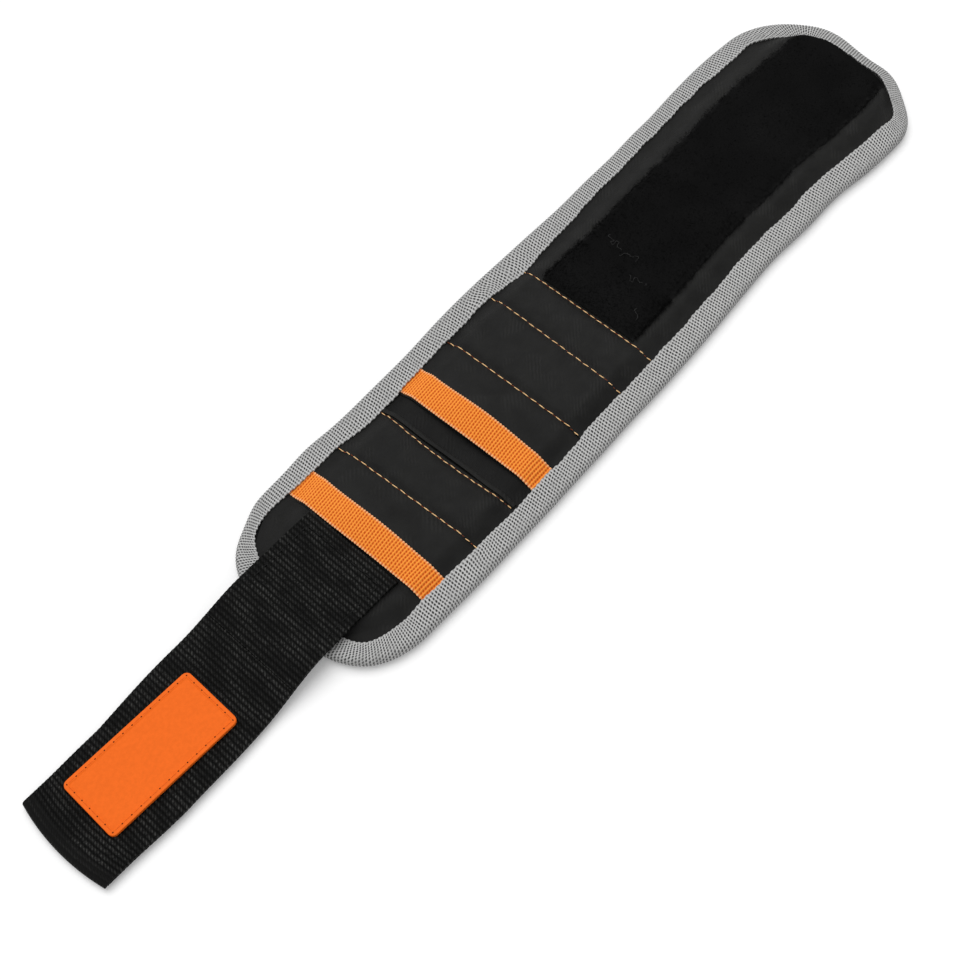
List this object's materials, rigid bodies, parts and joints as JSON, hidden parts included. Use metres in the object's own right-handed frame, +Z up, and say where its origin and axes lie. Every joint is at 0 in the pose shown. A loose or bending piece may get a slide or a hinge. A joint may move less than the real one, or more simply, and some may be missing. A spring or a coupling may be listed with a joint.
{
  "type": "magnetic wristband",
  "caption": "Padded wrist band with magnets sewn in channels, two elastic-mouthed pockets and a hook strap that closes on a loop panel.",
  "frame": {"origin": "on the floor plane under the middle of the whole length, from strap tip to loop end, and under the body's centre line", "axes": "+Z up out of the face, +X along the band towards the loop end, Y across the band"},
  "size_m": [0.475, 0.09, 0.0123],
  "materials": {
    "lining": "black air-mesh backing cloth",
    "foam": "dark foam pad faced with thin cloth",
    "binding_tape": "woven grey binding tape, folded over the edge",
    "face_cloth": "black coated woven cloth, slight sheen",
    "loop_pile": "black brushed loop pile",
    "elastic_ribbon": "orange ribbed elastic ribbon with paler edges",
    "magnet": "plated disc magnets on a carrier strip",
    "seam_thread": "tan polyester thread",
    "black_thread": "black polyester thread",
    "webbing": "black ribbed webbing",
    "hook_tape": "black moulded hook tape",
    "label_rubber": "soft orange rubber, matt",
    "label_thread": "orange thread"
  },
  "bodies": {
    "loop_tip": {"lining_loop_tip": "lining", "foam_loop_tip": "foam", "binding_loop_tip": "binding_tape", "face_loop_tip": "face_cloth", "loop_panel_loop_tip": "loop_pile"},
    "loop_mid": {"lining_loop_mid": "lining", "foam_loop_mid": "foam", "binding_left_loop_mid": "binding_tape", "binding_right_loop_mid": "binding_tape", "face_loop_mid": "face_cloth", "loop_panel_loop_mid": "loop_pile"},
    "loop_root": {"lining_loop_root": "lining", "foam_loop_root": "foam", "binding_left_loop_root": "binding_tape", "binding_right_loop_root": "binding_tape", "face_loop_root": "face_cloth", "loop_panel_loop_root": "loop_pile"},
    "far_magnets": {"lining_far_magnets": "lining", "foam_far_magnets": "foam", "binding_left_far_magnets": "binding_tape", "binding_right_far_magnets": "binding_tape", "quilted_face_far": "face_cloth", "magnet_row_1": "magnet", "magnet_row_2": "magnet", "seam_thread_1": "seam_thread", "seam_thread_2": "seam_thread", "seam_thread_3": "seam_thread"},
    "far_pocket": {"lining_far_pocket": "lining", "foam_far_pocket": "foam", "binding_left_far_pocket": "binding_tape", "binding_right_far_pocket": "binding_tape"},
    "near_magnets": {"lining_near_magnets": "lining", "foam_near_magnets": "foam", "binding_left_near_magnets": "binding_tape", "binding_right_near_magnets": "binding_tape", "quilted_face_near": "face_cloth", "magnet_row_3": "magnet", "seam_thread_4": "seam_thread", "seam_thread_5": "seam_thread"},
    "near_pocket": {"lining_near_pocket": "lining", "foam_near_pocket": "foam", "binding_left_near_pocket": "binding_tape", "binding_right_near_pocket": "binding_tape"},
    "strap_end": {"lining_strap_end": "lining", "foam_strap_end": "foam", "binding_strap_end": "binding_tape", "face_strap_end": "face_cloth", "webbing_base": "webbing", "strap_box_stitch": "black_thread"},
    "far_pocket_mouth": {"pocket_panel_far": "face_cloth", "elastic_hem_far": "elastic_ribbon"},
    "near_pocket_mouth": {"pocket_panel_near": "face_cloth", "elastic_hem_near": "elastic_ribbon"},
    "strap_neck": {"webbing_neck": "webbing"},
    "strap_tip": {"webbing_tip": "webbing", "hook_panel": "hook_tape", "label": "label_rubber", "label_stitch": "label_thread"}
  },
  "joints": [
    {"name": "band_wrap", "type": "hinge", "parent": "far_magnets", "child": "loop_root", "pos_m": [0.0539, 0, 0], "axis": [0, 1, 0], "range_deg": [0, 45.6]},
    {"name": "band_bend_2", "type": "hinge", "parent": "loop_root", "child": "loop_mid", "pos_m": [0.1057, 0, 0], "axis": [0, 1, 0], "range_deg": [0, 55.61]},
    {"name": "band_bend_3", "type": "hinge", "parent": "loop_mid", "child": "loop_tip", "pos_m": [0.1575, 0, 0], "axis": [0, 1, 0], "range_deg": [0, 63.01]},
    {"name": "band_bend_4", "type": "hinge", "parent": "far_magnets", "child": "far_pocket", "pos_m": [0.0049, 0, 0], "axis": [0, -1, 0], "range_deg": [0, 35.11]},
    {"name": "band_bend_5", "type": "hinge", "parent": "far_pocket", "child": "near_magnets", "pos_m": [-0.0281, 0, 0], "axis": [0, -1, 0], "range_deg": [0, 26.41]},
    {"name": "band_bend_6", "type": "hinge", "parent": "near_magnets", "child": "near_pocket", "pos_m": [-0.0584, 0, 0], "axis": [0, -1, 0], "range_deg": [0, 26.61]},
    {"name": "band_bend_7", "type": "hinge", "parent": "near_pocket", "child": "strap_end", "pos_m": [-0.0857, 0, 0], "axis": [0, -1, 0], "range_deg": [0, 29.21]},
    {"name": "strap_close", "type": "hinge", "parent": "strap_end", "child": "strap_neck", "pos_m": [-0.12448, -0.00273, 0.0072], "axis": [0, -1, 0], "range_deg": [0, 36.6]},
    {"name": "strap_bend_2", "type": "hinge", "parent": "strap_neck", "child": "strap_tip", "pos_m": [-0.15797, -0.0017, 0.0018], "axis": [0, -1, 0], "range_deg": [0, 41.91]},
    {"name": "far_pocket_open", "type": "hinge", "parent": "far_pocket", "child": "far_pocket_mouth", "pos_m": [0.0049, 0, 0.0069], "axis": [0, 1, 0], "range_deg": [0, 18], "stiffness_Nm_per_rad": 0.002},
    {"name": "near_pocket_open", "type": "hinge", "parent": "near_pocket", "child": "near_pocket_mouth", "pos_m": [-0.0584, 0, 0.0069], "axis": [0, 1, 0], "range_deg": [0, 18], "stiffness_Nm_per_rad": 0.002}
  ],
  "couplings": [
    {"joint": "band_bend_2", "follows": "band_wrap", "ratio": 1.2193},
    {"joint": "band_bend_3", "follows": "band_wrap", "ratio": 1.3816},
    {"joint": "band_bend_4", "follows": "band_wrap", "ratio": 0.76974},
    {"joint": "band_bend_5", "follows": "band_wrap", "ratio": 0.57895},
    {"joint": "band_bend_6", "follows": "band_wrap", "ratio": 0.58333},
    {"joint": "band_bend_7", "follows": "band_wrap", "ratio": 0.64035},
    {"joint": "strap_bend_2", "follows": "strap_close", "ratio": 1.1448}
  ]
}
